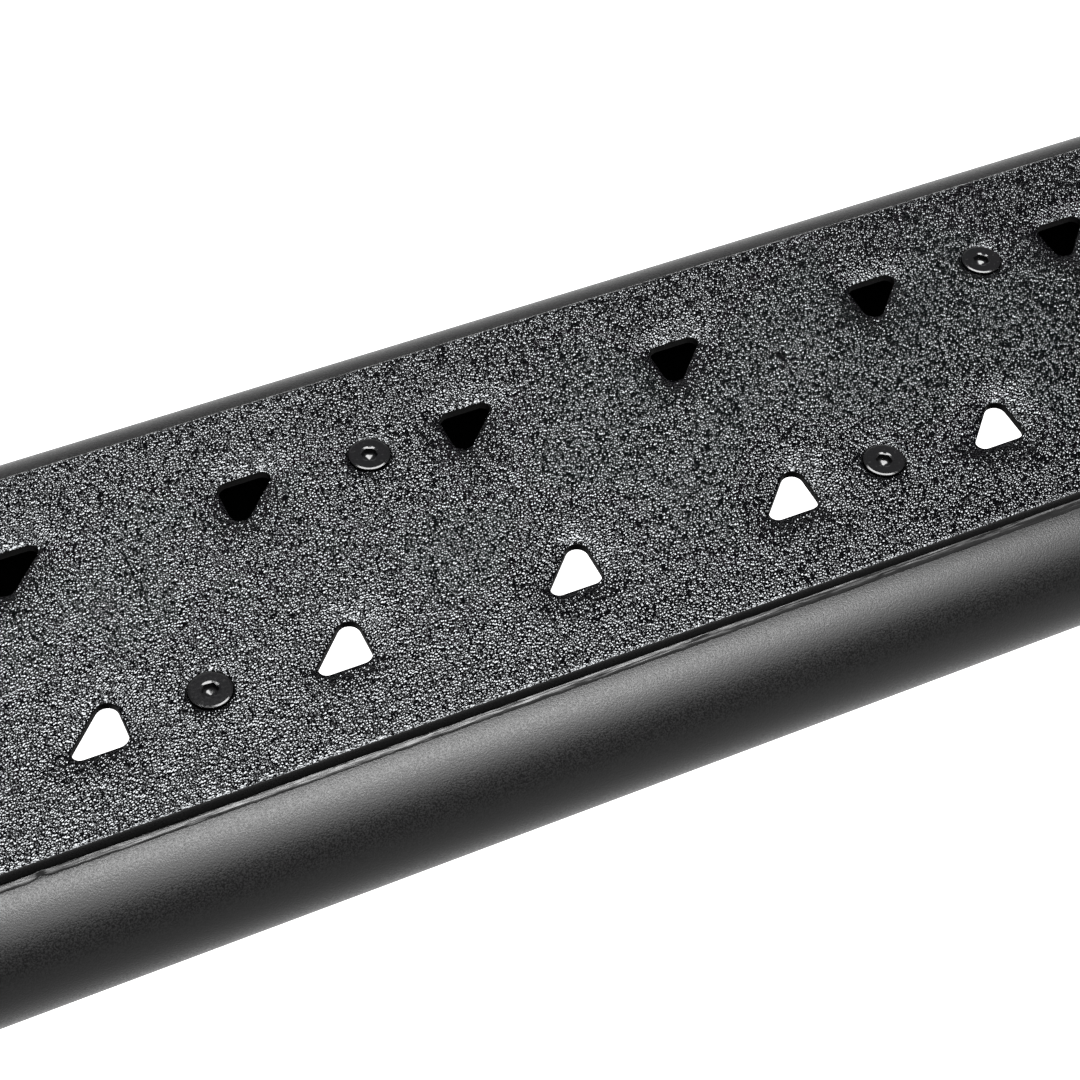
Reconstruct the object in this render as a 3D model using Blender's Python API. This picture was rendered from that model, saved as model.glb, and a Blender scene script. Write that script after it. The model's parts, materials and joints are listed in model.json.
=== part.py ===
"""Truck running board: a dimple-stamped step plate screwed down on two rounded steel rails.

Units are metres. X runs along the board, +Y points to the vehicle and Z is up. The origin is the
centre of the bounding box's underside, so the board's own centreline lies at y = BOARD_Y.
"""

import math

import bmesh
import bpy
from mathutils import Vector

GAP = 0.0003

# Hole pattern of the step plate. The whole pattern looks the same when it is turned half round.
PITCH = 0.080
HOLES_PER_ROW = 16
HOLE_PHASE = -0.4835
ROW_OFFSET = 0.0355
SCREW_ROW_OFFSET = 0.036
SCREW_PHASE = 0.982
SCREW_EVERY = 3
SCREWS_PER_ROW = 6

# A stamped hole is a right triangle with rounded corners.
HOLE_LEG_X = 0.0222
HOLE_LEG_Y = 0.0233
HOLE_RADII = (0.0041, 0.0038, 0.0028)
HOLE_CORNER_STEPS = 3
FLARE_WIDTH = 0.0090
LIP_DEPTH = 0.0034
LIP_WALL = 0.0018

# Step plate
PLATE_LENGTH = 1.344
PLATE_WIDTH = 0.150
PLATE_THICKNESS = 0.0025
PLATE_SKIRT = 0.0056
PLATE_EDGE_CHAMFER = 0.0008

# Rails: a ledge under the plate, a half-round side and a bottom flange, all one bent sheet.
RAIL_RADIUS = 0.025
RAIL_SHEET = 0.0025
RAIL_STEPS = 14
SHOULDER = 0.0755
LEDGE_INNER = 0.056
TAB_INNER = 0.022
TAB_WIDTH = 0.034
FLANGE_INNER = 0.040
LEDGE_DROP = 0.006

# Brackets, which carry the board and bolt to the vehicle
BRACKET_X = 0.400
BRACKET_TRAVEL = 0.040
SLOT_END_ROOM = 0.006
BRACKET_WIDTH = 0.050
BRACKET_HEIGHT = 0.022
BRACKET_SHEET = 0.004
BRACKET_FRONT = -0.072
UPRIGHT_FACE = 0.122
UPRIGHT_THICKNESS = 0.005
UPRIGHT_TOP = 0.150
RIB_FRONT = 0.104
UPRIGHT_SLOT_WIDTH = 0.011
UPRIGHT_SLOT_LENGTH = 0.022
UPRIGHT_SLOT_HEIGHTS = (0.093, 0.133)
BRACKET_BOLT_Y = 0.058

# Heights
RAIL_BOTTOM = BRACKET_HEIGHT + GAP
LEDGE_TOP = RAIL_BOTTOM + 2 * RAIL_RADIUS
PLATE_TOP = LEDGE_TOP + LEDGE_DROP
FLANGE_TOP = RAIL_BOTTOM + RAIL_SHEET
RAIL_CENTRE = RAIL_BOTTOM + RAIL_RADIUS
BOARD_HALF_DEPTH = SHOULDER + RAIL_RADIUS
BOARD_Y = (BOARD_HALF_DEPTH - UPRIGHT_FACE) / 2

# Sheet, seal and end pieces
GASKET_INNER = 0.058
BEAD_RADIUS = 0.0022
CROSS_CHANNELS_X = (-0.540, -0.300, 0.300, 0.540)
CROSS_CHANNEL_WIDTH = 0.030
CROSS_CHANNEL_HEIGHT = 0.024
CROSS_CHANNEL_SHEET = 0.003
CROSS_CHANNEL_HALF = 0.072
END_PLATE_THICKNESS = 0.003
CAP_THICKNESS = 0.0085
CAP_WALL = 0.0025
CAP_ROUNDING = 0.0018
CAP_SCREW_Y = 0.060

# Fasteners: radii and heights
SEGMENTS = 12
BOLT_SEGMENTS = 16
SCREW_HEAD_RADIUS = 0.007
SCREW_SHANK_RADIUS = 0.004
SCREW_HEAD_DEPTH = 0.0030
SCREW_RIM = 0.0004
SCREW_PROUD = 0.0002
SCREW_LENGTH = 0.022
SCREW_SOCKET = 0.005
SCREW_SOCKET_DEPTH = 0.0022
RIVET_NUT_FLANGE_RADIUS = 0.0080
RIVET_NUT_RADIUS = 0.0055
RIVET_NUT_LENGTH = 0.0155
BRACKET_BOLT_RADIUS = 0.005
BRACKET_NUT_FLATS = 0.017
BRACKET_NUT_HEIGHT = 0.008
WASHER_RADIUS = 0.010
WASHER_THICKNESS = 0.002
CAP_SCREW_RADIUS = 0.0025
CAP_SCREW_HEAD_RADIUS = 0.0048


def clear_scene():
    for obj in list(bpy.data.objects):
        bpy.data.objects.remove(obj, do_unlink=True)


def make_material(name, colour, roughness, metallic):
    material = bpy.data.materials.new(name)
    material.use_nodes = True
    shader = material.node_tree.nodes["Principled BSDF"]
    shader.inputs["Base Color"].default_value = (*colour, 1.0)
    shader.inputs["Roughness"].default_value = roughness
    shader.inputs["Metallic"].default_value = metallic
    return material


def make_mesh(name, bm, material, smooth_angle=35):
    bmesh.ops.recalc_face_normals(bm, faces=bm.faces)
    mesh = bpy.data.meshes.new(name)
    bm.to_mesh(mesh)
    bm.free()
    mesh.materials.append(material)
    mesh.shade_smooth()
    mesh.set_sharp_from_angle(angle=math.radians(smooth_angle))
    return mesh


def add_object(name, mesh, location=(0, 0, 0), parent=None):
    obj = bpy.data.objects.new(name, mesh)
    bpy.context.scene.collection.objects.link(obj)
    obj.parent = parent
    obj.location = location
    return obj


def add_cutter(name, bm, location=(0, 0, 0)):
    """A helper body for a Boolean, left out of the object itself."""
    bmesh.ops.recalc_face_normals(bm, faces=bm.faces)
    mesh = bpy.data.meshes.new(name)
    bm.to_mesh(mesh)
    bm.free()
    cutter = add_object(name, mesh, location)
    cutter.hide_render = True
    cutter.display_type = "WIRE"
    return cutter


def add_boolean(obj, other, operation):
    modifier = obj.modifiers.new(operation.title(), "BOOLEAN")
    modifier.object = other
    modifier.operation = operation
    modifier.solver = "EXACT"


def arc(centre, radius, start, end, steps):
    """Points along an arc, with angles in degrees."""
    points = []
    for i in range(steps + 1):
        angle = math.radians(start + (end - start) * i / steps)
        points.append((centre[0] + radius * math.cos(angle), centre[1] + radius * math.sin(angle)))
    return points


def loft(bm, rings, closed=False):
    """Joins rings of equal length with faces. An open loft gets a face over each end."""
    loops = [[bm.verts.new(point) for point in ring] for ring in rings]
    pairs = list(zip(loops, loops[1:]))
    if closed:
        pairs.append((loops[-1], loops[0]))
    for first, second in pairs:
        for i in range(len(first)):
            j = (i + 1) % len(first)
            bm.faces.new((first[i], first[j], second[j], second[i]))
    if not closed:
        bm.faces.new(loops[0])
        bm.faces.new(loops[-1])
    return loops


def prism(bm, outline, start, end, axis):
    """A straight body with the outline as its section, running along the X or the Y axis."""
    if axis == "X":
        rings = [[(along, u, z) for u, z in outline] for along in (start, end)]
    else:
        rings = [[(u, along, z) for u, z in outline] for along in (start, end)]
    loft(bm, rings)


def upright_prism(bm, outline, bottom, top):
    """A straight body with the outline as its plan."""
    loft(bm, [[(x, y, z) for x, y in outline] for z in (bottom, top)])


def box(bm, low, high):
    outline = [(low[1], low[2]), (high[1], low[2]), (high[1], high[2]), (low[1], high[2])]
    prism(bm, outline, low[0], high[0], "X")


def round_ring(radius, z, segments=SEGMENTS):
    return [(x, y, z) for x, y in arc((0, 0), radius, 0, 360, segments)[:-1]]


def hex_ring(flats, z):
    """A hexagon with a point at each corner and one at the middle of each flat."""
    ring = []
    for i in range(SEGMENTS):
        angle = 2 * math.pi * i / SEGMENTS
        radius = flats / 2 if i % 2 else flats / math.sqrt(3)
        ring.append((radius * math.cos(angle), radius * math.sin(angle), z))
    return ring


def square_ring(side, z):
    ring = []
    for i in range(BOLT_SEGMENTS):
        angle = 2 * math.pi * i / BOLT_SEGMENTS
        radius = side / 2 / max(abs(math.cos(angle)), abs(math.sin(angle)))
        ring.append((radius * math.cos(angle), radius * math.sin(angle), z))
    return ring


def slot_outline(centre, length, width, steps=5):
    """A slot with round ends, its length along the first coordinate."""
    reach = (length - width) / 2
    right = arc((centre[0] + reach, centre[1]), width / 2, -90, 90, steps)
    left = arc((centre[0] - reach, centre[1]), width / 2, 90, 270, steps)
    return right + left


def hole_positions(row):
    """Hole centres of one row; row is -1 for the outer row and 1 for the vehicle's side."""
    first = 1 - HOLES_PER_ROW // 2
    places = []
    for k in range(HOLES_PER_ROW):
        x = (first + k + HOLE_PHASE) * PITCH
        places.append((-row * x, row * ROW_OFFSET))
    return places


def screw_positions():
    places = []
    for row in (-1, 1):
        for j in range(SCREWS_PER_ROW):
            x = (SCREW_PHASE + SCREW_EVERY * (j - SCREWS_PER_ROW // 2)) * PITCH
            places.append((-row * x, row * SCREW_ROW_OFFSET))
    return places


def triangle_outline(grow):
    """The outer row's hole outline, grown by an amount, with its box centred on the origin."""
    corners = [Vector((0, 0)), Vector((0, HOLE_LEG_Y)), Vector((-HOLE_LEG_X, 0))]
    box_points = []
    outline = []
    for i, corner in enumerate(corners):
        before = (corners[i - 1] - corner).normalized()
        after = (corners[(i + 1) % 3] - corner).normalized()
        half_angle = before.angle(after) / 2
        middle = (before + after).normalized()
        centre = corner + middle * HOLE_RADII[i] / math.sin(half_angle)
        facing = math.degrees(math.atan2(-middle.y, -middle.x))
        sweep = 90 - math.degrees(half_angle)
        box_points += arc(centre, HOLE_RADII[i], facing - sweep, facing + sweep, 8)
        radius = HOLE_RADII[i] + grow
        outline += arc(centre, radius, facing - sweep, facing + sweep, HOLE_CORNER_STEPS)
    mid_x = (min(p[0] for p in box_points) + max(p[0] for p in box_points)) / 2
    mid_y = (min(p[1] for p in box_points) + max(p[1] for p in box_points)) / 2
    return [(x - mid_x, y - mid_y) for x, y in outline]


def hole_ring(place, row, grow, z):
    turn = -row
    return [(place[0] + turn * x, place[1] + turn * y, z) for x, y in triangle_outline(grow)]


def plate_border(inset, z):
    """A rectangle round the plate, with a point at every half pitch of its long sides."""
    half_x = PLATE_LENGTH / 2 - inset
    half_y = PLATE_WIDTH / 2 - inset
    count = int(PLATE_LENGTH / PITCH)
    stations = [(k - count / 2) * PITCH for k in range(count + 1)]
    inner = [x for x in stations if abs(x) < PLATE_LENGTH / 2 - PITCH / 4]
    front = [(x, -half_y, z) for x in [-half_x, *inner, half_x]]
    rear = [(x, half_y, z) for x in [half_x, *reversed(inner), -half_x]]
    return front + [(half_x, 0, z)] + rear + [(-half_x, 0, z)]


def loop_edges(loop):
    """The edges that join the neighbouring vertices of a ring."""
    edges = []
    for first, second in zip(loop, loop[1:] + loop[:1]):
        edges += [edge for edge in first.link_edges if edge.other_vert(first) == second]
    return edges


def open_loft(bm, rings):
    """Like loft, without its end faces. It returns the first and the last ring's edges."""
    loops = [[bm.verts.new(point) for point in ring] for ring in rings]
    for first, second in zip(loops, loops[1:]):
        for i in range(len(first)):
            j = (i + 1) % len(first)
            bm.faces.new((first[i], first[j], second[j], second[i]))
    return loop_edges(loops[0]), loop_edges(loops[-1])


def border_rings():
    """The plate's rim and turned-down skirt, from its top face round to its underside."""
    edge = PLATE_EDGE_CHAMFER
    sheet = PLATE_THICKNESS
    return [
        plate_border(edge, PLATE_TOP),
        plate_border(0, PLATE_TOP - edge),
        plate_border(0, PLATE_TOP - PLATE_SKIRT),
        plate_border(sheet, PLATE_TOP - PLATE_SKIRT),
        plate_border(sheet, PLATE_TOP - sheet),
    ]


def stamped_hole_rings(place, row):
    """A hole's flared rim, its short wall, and the matching bulge on the underside."""
    lip = PLATE_TOP - LIP_DEPTH
    sheet = PLATE_THICKNESS
    return [
        hole_ring(place, row, FLARE_WIDTH, PLATE_TOP),
        hole_ring(place, row, 0, lip),
        hole_ring(place, row, 0, lip - LIP_WALL),
        hole_ring(place, row, sheet * 0.7, lip - LIP_WALL),
        hole_ring(place, row, FLARE_WIDTH, PLATE_TOP - sheet),
    ]


def countersink_rings(place):
    """A screw's countersunk hole, which pushes the sheet down a little under it."""
    top_radius = SCREW_HEAD_RADIUS + 2 * GAP
    drop = SCREW_HEAD_DEPTH + GAP
    bore = SCREW_SHANK_RADIUS + 2 * GAP
    profile = [
        (top_radius + SCREW_RIM, PLATE_TOP),
        (bore, PLATE_TOP - drop),
        (top_radius, PLATE_TOP - drop),
        (top_radius + 0.002, PLATE_TOP - PLATE_THICKNESS),
    ]
    rings = []
    for radius, z in profile:
        ring = round_ring(radius, z)
        rings.append([(place[0] + x, place[1] + y, height) for x, y, height in ring])
    return rings


def build_step_plate(material):
    bm = bmesh.new()
    upper, lower = open_loft(bm, border_rings())
    for row in (-1, 1):
        for place in hole_positions(row):
            top, bottom = open_loft(bm, stamped_hole_rings(place, row))
            upper += top
            lower += bottom
    for place in screw_positions():
        top, bottom = open_loft(bm, countersink_rings(place))
        upper += top
        lower += bottom
    bmesh.ops.triangle_fill(bm, edges=upper, use_beauty=True, normal=(0, 0, 1))
    bmesh.ops.triangle_fill(bm, edges=lower, use_beauty=True, normal=(0, 0, -1))
    mesh = make_mesh("step_plate", bm, material)
    return add_object("step_plate", mesh, (0, BOARD_Y, 0))


def rail_section(side):
    """The bent sheet's outline; side is -1 for the outer rail and 1 for the vehicle's side."""
    centre = (SHOULDER, RAIL_CENTRE)
    outline = [(LEDGE_INNER, LEDGE_TOP)]
    outline += arc(centre, RAIL_RADIUS, 90, -90, RAIL_STEPS)
    outline += [(FLANGE_INNER, RAIL_BOTTOM), (FLANGE_INNER, FLANGE_TOP)]
    outline += arc(centre, RAIL_RADIUS - RAIL_SHEET, -90, 90, RAIL_STEPS)
    outline += [(LEDGE_INNER, LEDGE_TOP - RAIL_SHEET)]
    return [(side * u, z) for u, z in outline]


def build_rail(name, side, material):
    bm = bmesh.new()
    prism(bm, rail_section(side), -PLATE_LENGTH / 2, PLATE_LENGTH / 2, "X")
    rail = add_object(name, make_mesh(name, bm, material), (0, BOARD_Y, 0))
    tabs = bmesh.new()
    cuts = bmesh.new()
    for x, y in screw_positions():
        if y * side < 0:
            continue
        inner, outer = sorted((side * TAB_INNER, side * (LEDGE_INNER + 0.005)))
        low = (x - TAB_WIDTH / 2, inner, LEDGE_TOP - RAIL_SHEET)
        high = (x + TAB_WIDTH / 2, outer, LEDGE_TOP)
        box(tabs, low, high)
        hole = arc((x, y), RIVET_NUT_RADIUS + GAP, 0, 360, SEGMENTS)[:-1]
        upright_prism(cuts, hole, LEDGE_TOP - 0.006, LEDGE_TOP + 0.003)
    for x in (-BRACKET_X, BRACKET_X):
        length = 2 * (BRACKET_TRAVEL + BRACKET_BOLT_RADIUS + SLOT_END_ROOM)
        width = 2 * (BRACKET_BOLT_RADIUS + GAP)
        outline = slot_outline((x, side * BRACKET_BOLT_Y), length, width)
        upright_prism(cuts, outline, RAIL_BOTTOM - 0.004, FLANGE_TOP + 0.004)
    add_boolean(rail, add_cutter(name + "_tabs", tabs, (0, BOARD_Y, 0)), "UNION")
    add_boolean(rail, add_cutter(name + "_cuts", cuts, (0, BOARD_Y, 0)), "DIFFERENCE")


def build_gasket(name, side, material):
    """The foam strip between the plate and the ledge."""
    outer = PLATE_WIDTH / 2 - PLATE_THICKNESS - GAP
    low_z = LEDGE_TOP + GAP
    high_z = PLATE_TOP - PLATE_THICKNESS - GAP
    half = PLATE_LENGTH / 2 - PLATE_THICKNESS - GAP
    inner, outer = sorted((side * GASKET_INNER, side * outer))
    bm = bmesh.new()
    box(bm, (-half, inner, low_z), (half, outer, high_z))
    add_object(name, make_mesh(name, bm, material), (0, BOARD_Y, 0))


def build_seal_bead(name, side, material):
    """The silicone fillet in the corner between the plate's skirt and the rail's shoulder."""
    start = PLATE_WIDTH / 2 + GAP
    floor = LEDGE_TOP + GAP
    outline = [(start, floor), (start + BEAD_RADIUS, floor)]
    outline += arc((start, floor), BEAD_RADIUS, 22, 90, 3)
    half = PLATE_LENGTH / 2
    bm = bmesh.new()
    prism(bm, [(side * u, z) for u, z in outline], -half, half, "X")
    add_object(name, make_mesh(name, bm, material), (0, BOARD_Y, 0))


def build_cross_channel(name, x, material):
    """A channel, open below, welded across the two bottom flanges."""
    half = CROSS_CHANNEL_WIDTH / 2
    sheet = CROSS_CHANNEL_SHEET
    low = FLANGE_TOP + GAP
    high = low + CROSS_CHANNEL_HEIGHT
    outline = [(-half, low), (-half + sheet, low), (-half + sheet, high - sheet)]
    outline += [(half - sheet, high - sheet), (half - sheet, low), (half, low)]
    outline += [(half, high), (-half, high)]
    bm = bmesh.new()
    prism(bm, outline, -CROSS_CHANNEL_HALF, CROSS_CHANNEL_HALF, "Y")
    add_object(name, make_mesh(name, bm, material), (x, BOARD_Y, 0))


def end_section(inset):
    """The board's outline seen from its end, with the plate standing over the two shoulders."""
    radius = RAIL_RADIUS - inset
    step = PLATE_WIDTH / 2 - inset
    top = PLATE_TOP - inset
    right = arc((SHOULDER, RAIL_CENTRE), radius, -90, 90, RAIL_STEPS)
    right += [(step, LEDGE_TOP - inset), (step, top - 0.001), (step - 0.001, top)]
    left = [(-y, z) for y, z in reversed(right)]
    return right + left


def cap_ring(x, inset):
    return [(x, y, z) for y, z in end_section(inset)]


def build_end(name, side, steel, plastic):
    """A welded end plate and the moulded cap that covers it."""
    face = PLATE_LENGTH / 2 + GAP
    recess = face + END_PLATE_THICKNESS + GAP
    outer = face + CAP_THICKNESS
    bm = bmesh.new()
    xs = [side * face, side * (outer - CAP_ROUNDING), side * outer]
    rings = [cap_ring(xs[0], 0), cap_ring(xs[1], 0), cap_ring(xs[2], CAP_ROUNDING)]
    loft(bm, rings)
    cap = add_object("end_cap_" + name, make_mesh("end_cap_" + name, bm, plastic), (0, BOARD_Y, 0))
    hollow = bmesh.new()
    inner_rings = [cap_ring(side * x, CAP_WALL) for x in (face - 0.002, recess)]
    loft(hollow, inner_rings)
    add_boolean(cap, add_cutter(name + "_cap_hollow", hollow, (0, BOARD_Y, 0)), "DIFFERENCE")
    bm = bmesh.new()
    plate_rings = [cap_ring(side * x, CAP_WALL + GAP) for x in (face, face + END_PLATE_THICKNESS)]
    loft(bm, plate_rings)
    mesh = make_mesh("end_plate_" + name, bm, steel)
    end_plate = add_object("end_plate_" + name, mesh, (0, BOARD_Y, 0))
    bores = bmesh.new()
    for y in (-CAP_SCREW_Y, CAP_SCREW_Y):
        outline = arc((y, RAIL_CENTRE), CAP_SCREW_RADIUS + GAP, 0, 360, SEGMENTS)[:-1]
        start, end = sorted((side * (face - 0.004), side * (outer + 0.004)))
        prism(bores, outline, start, end, "X")
    bore_cutter = add_cutter(name + "_cap_bores", bores, (0, BOARD_Y, 0))
    add_boolean(cap, bore_cutter, "DIFFERENCE")
    add_boolean(end_plate, bore_cutter, "DIFFERENCE")


def plate_screw_mesh(material):
    """A countersunk screw with a hexagon socket, its head's top at z = 0."""
    rings = [
        hex_ring(SCREW_SOCKET, -SCREW_SOCKET_DEPTH),
        hex_ring(SCREW_SOCKET, 0),
        round_ring(SCREW_HEAD_RADIUS - SCREW_RIM / 2, 0),
        round_ring(SCREW_HEAD_RADIUS, -SCREW_RIM),
        round_ring(SCREW_SHANK_RADIUS, -SCREW_HEAD_DEPTH),
        round_ring(SCREW_SHANK_RADIUS, -SCREW_LENGTH),
    ]
    bm = bmesh.new()
    loft(bm, rings)
    return make_mesh("plate_screw", bm, material)


def rivet_nut_mesh(material):
    """A flanged insert nut with its flange's underside at z = 0."""
    bore = SCREW_SHANK_RADIUS + GAP
    flange_top = LEDGE_DROP - SCREW_HEAD_DEPTH - 3 * GAP
    rings = [
        round_ring(bore, flange_top),
        round_ring(RIVET_NUT_FLANGE_RADIUS, flange_top),
        round_ring(RIVET_NUT_FLANGE_RADIUS, 0),
        round_ring(RIVET_NUT_RADIUS - GAP, 0),
        round_ring(RIVET_NUT_RADIUS - GAP, -RIVET_NUT_LENGTH),
        round_ring(bore, -RIVET_NUT_LENGTH),
    ]
    bm = bmesh.new()
    loft(bm, rings, closed=True)
    return make_mesh("rivet_nut", bm, material)


def build_plate_fasteners(screw_material, nut_material):
    screw_mesh = plate_screw_mesh(screw_material)
    nut_mesh = rivet_nut_mesh(nut_material)
    for i, (x, y) in enumerate(screw_positions(), start=1):
        place = (x, BOARD_Y + y, PLATE_TOP + SCREW_PROUD)
        add_object(f"plate_screw_{i:02d}", screw_mesh, place)
        add_object(f"rivet_nut_{i:02d}", nut_mesh, (x, BOARD_Y + y, LEDGE_TOP + GAP))


def cap_screw_mesh(material):
    """A small button-head screw whose head rests on z = 0."""
    rings = [
        hex_ring(0.003, 0.0010),
        hex_ring(0.003, 0.0024),
        round_ring(CAP_SCREW_HEAD_RADIUS * 0.6, 0.0024),
        round_ring(CAP_SCREW_HEAD_RADIUS, 0.0008),
        round_ring(CAP_SCREW_HEAD_RADIUS, 0),
        round_ring(CAP_SCREW_RADIUS, 0),
        round_ring(CAP_SCREW_RADIUS, -0.014),
    ]
    bm = bmesh.new()
    loft(bm, rings)
    return make_mesh("cap_screw", bm, material)


def build_cap_screws(material):
    mesh = cap_screw_mesh(material)
    seat = PLATE_LENGTH / 2 + GAP + CAP_THICKNESS + GAP
    for side, end in ((-1, "left"), (1, "right")):
        for y, row in ((-CAP_SCREW_Y, "front"), (CAP_SCREW_Y, "rear")):
            screw = add_object(f"cap_screw_{end}_{row}", mesh, (side * seat, BOARD_Y + y, RAIL_CENTRE))
            screw.rotation_euler = (0, side * math.pi / 2, 0)


def bracket_base(bm):
    """The channel that runs under the board, open below."""
    half = BRACKET_WIDTH / 2
    inner = half - BRACKET_SHEET
    web = BRACKET_HEIGHT - BRACKET_SHEET
    outline = [(-half, 0), (-inner, 0), (-inner, web), (inner, web), (inner, 0), (half, 0)]
    outline += [(half, BRACKET_HEIGHT), (-half, BRACKET_HEIGHT)]
    prism(bm, outline, BRACKET_FRONT, UPRIGHT_FACE - UPRIGHT_THICKNESS / 2, "Y")


def bracket_upright(bm):
    """The plate that stands against the vehicle, with its top corners cut off."""
    half = BRACKET_WIDTH / 2 + 0.008
    cut = 0.012
    foot = BRACKET_HEIGHT + 0.010
    outline = [(-half + 0.008, 0), (half - 0.008, 0), (half, foot), (half, UPRIGHT_TOP - cut)]
    outline += [(half - cut, UPRIGHT_TOP), (cut - half, UPRIGHT_TOP), (-half, UPRIGHT_TOP - cut)]
    outline += [(-half, foot)]
    prism(bm, outline, UPRIGHT_FACE - UPRIGHT_THICKNESS, UPRIGHT_FACE, "Y")


def bracket_ribs(bm):
    """Two ribs that stiffen the corner between the channel and the upright."""
    rear = UPRIGHT_FACE - UPRIGHT_THICKNESS / 2
    foot = BRACKET_HEIGHT / 2
    outline = [(RIB_FRONT - 0.010, foot), (rear, foot), (rear, 0.115), (rear - 0.006, 0.115)]
    outline += [(RIB_FRONT, 0.095), (RIB_FRONT, BRACKET_HEIGHT), (RIB_FRONT - 0.010, BRACKET_HEIGHT)]
    half = BRACKET_WIDTH / 2
    for start, end in ((-half, BRACKET_SHEET - half), (half - BRACKET_SHEET, half)):
        prism(bm, outline, start, end, "X")


def bracket_cuts(bm):
    for y in (-BRACKET_BOLT_Y, BRACKET_BOLT_Y):
        outline = arc((0, y), BRACKET_BOLT_RADIUS + GAP, 0, 360, BOLT_SEGMENTS)[:-1]
        upright_prism(bm, outline, BRACKET_HEIGHT - BRACKET_SHEET - 0.003, BRACKET_HEIGHT + 0.003)
    for z in UPRIGHT_SLOT_HEIGHTS:
        upright = slot_outline((z, 0), UPRIGHT_SLOT_LENGTH, UPRIGHT_SLOT_WIDTH)
        outline = [(x, height) for height, x in upright]
        prism(bm, outline, UPRIGHT_FACE - 0.012, UPRIGHT_FACE + 0.004, "Y")


def build_bracket(name, x, material):
    place = (x, BOARD_Y, 0)
    bm = bmesh.new()
    bracket_base(bm)
    bracket = add_object("bracket_" + name, make_mesh("bracket_" + name, bm, material), place)
    for label, shape, operation in (
        ("upright", bracket_upright, "UNION"),
        ("ribs", bracket_ribs, "UNION"),
        ("cuts", bracket_cuts, "DIFFERENCE"),
    ):
        bm = bmesh.new()
        shape(bm)
        add_boolean(bracket, add_cutter(f"{name}_bracket_{label}", bm, place), operation)


def bracket_bolt_mesh(material):
    """A round-headed bolt with a square neck that slides in the rail's slot."""
    neck = 2 * BRACKET_BOLT_RADIUS - GAP
    neck_bottom = -(RAIL_SHEET + GAP)
    rings = [
        round_ring(0.005, 0.0050, BOLT_SEGMENTS),
        round_ring(0.0085, 0.0034, BOLT_SEGMENTS),
        round_ring(0.0100, 0.0008, BOLT_SEGMENTS),
        round_ring(0.0100, 0, BOLT_SEGMENTS),
        square_ring(neck, 0),
        square_ring(neck, neck_bottom),
        round_ring(BRACKET_BOLT_RADIUS * 0.96, neck_bottom, BOLT_SEGMENTS),
        round_ring(BRACKET_BOLT_RADIUS * 0.96, -0.0210, BOLT_SEGMENTS),
    ]
    bm = bmesh.new()
    loft(bm, rings)
    return make_mesh("bracket_bolt", bm, material)


def washer_mesh(material):
    bore = BRACKET_BOLT_RADIUS + GAP
    bm = bmesh.new()
    rings = []
    for radius, z in (
        (bore, WASHER_THICKNESS),
        (WASHER_RADIUS, WASHER_THICKNESS),
        (WASHER_RADIUS, 0),
        (bore, 0),
    ):
        rings.append(round_ring(radius, z, BOLT_SEGMENTS))
    loft(bm, rings, closed=True)
    return make_mesh("bracket_washer", bm, material)


def bracket_nut_mesh(material):
    bore = BRACKET_BOLT_RADIUS + GAP
    rings = [
        round_ring(bore, BRACKET_NUT_HEIGHT),
        hex_ring(BRACKET_NUT_FLATS, BRACKET_NUT_HEIGHT),
        hex_ring(BRACKET_NUT_FLATS, 0),
        round_ring(bore, 0),
    ]
    bm = bmesh.new()
    loft(bm, rings, closed=True)
    return make_mesh("bracket_nut", bm, material)


def build_bracket_fasteners(material):
    bolt_mesh = bracket_bolt_mesh(material)
    flat_mesh = washer_mesh(material)
    nut_mesh = bracket_nut_mesh(material)
    washer_z = BRACKET_HEIGHT - BRACKET_SHEET - GAP - WASHER_THICKNESS
    nut_z = washer_z - GAP - BRACKET_NUT_HEIGHT
    for end, x in (("left", -BRACKET_X), ("right", BRACKET_X)):
        for row, side in (("front", -1), ("rear", 1)):
            y = BOARD_Y + side * BRACKET_BOLT_Y
            add_object(f"bracket_bolt_{end}_{row}", bolt_mesh, (x, y, FLANGE_TOP + GAP))
            add_object(f"bracket_washer_{end}_{row}", flat_mesh, (x, y, washer_z))
            add_object(f"bracket_nut_{end}_{row}", nut_mesh, (x, y, nut_z))


def main():
    clear_scene()
    textured_steel = make_material("textured_steel", (0.030, 0.031, 0.033), 0.55, 0.0)
    coated_steel = make_material("coated_steel", (0.035, 0.036, 0.038), 0.42, 0.0)
    bracket_steel = make_material("bracket_steel", (0.022, 0.022, 0.024), 0.50, 0.0)
    black_screw = make_material("black_screw", (0.020, 0.020, 0.022), 0.35, 0.6)
    zinc = make_material("zinc", (0.55, 0.56, 0.58), 0.35, 1.0)
    foam = make_material("foam_rubber", (0.012, 0.012, 0.012), 0.90, 0.0)
    silicone = make_material("silicone", (0.016, 0.016, 0.017), 0.18, 0.0)
    plastic = make_material("black_plastic", (0.018, 0.018, 0.019), 0.48, 0.0)

    build_step_plate(textured_steel)
    for label, side in (("front", -1), ("rear", 1)):
        build_rail(label + "_rail", side, coated_steel)
        build_gasket(label + "_gasket", side, foam)
        build_seal_bead(label + "_seal_bead", side, silicone)
    for i, x in enumerate(CROSS_CHANNELS_X, start=1):
        build_cross_channel(f"cross_channel_{i}", x, bracket_steel)
    for end, side in (("left", -1), ("right", 1)):
        build_end(end, side, bracket_steel, plastic)
        build_bracket(end, side * BRACKET_X, bracket_steel)
    build_plate_fasteners(black_screw, zinc)
    build_cap_screws(black_screw)
    build_bracket_fasteners(zinc)


main()
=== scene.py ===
"""The running board's looks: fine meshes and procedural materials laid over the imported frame.

Units are metres, in the frame's own axes: X along the board, +Y to the vehicle, Z up.
"""

import json
import math
import random

import bmesh
import bpy
from mathutils import Matrix, Vector, geometry, noise


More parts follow.
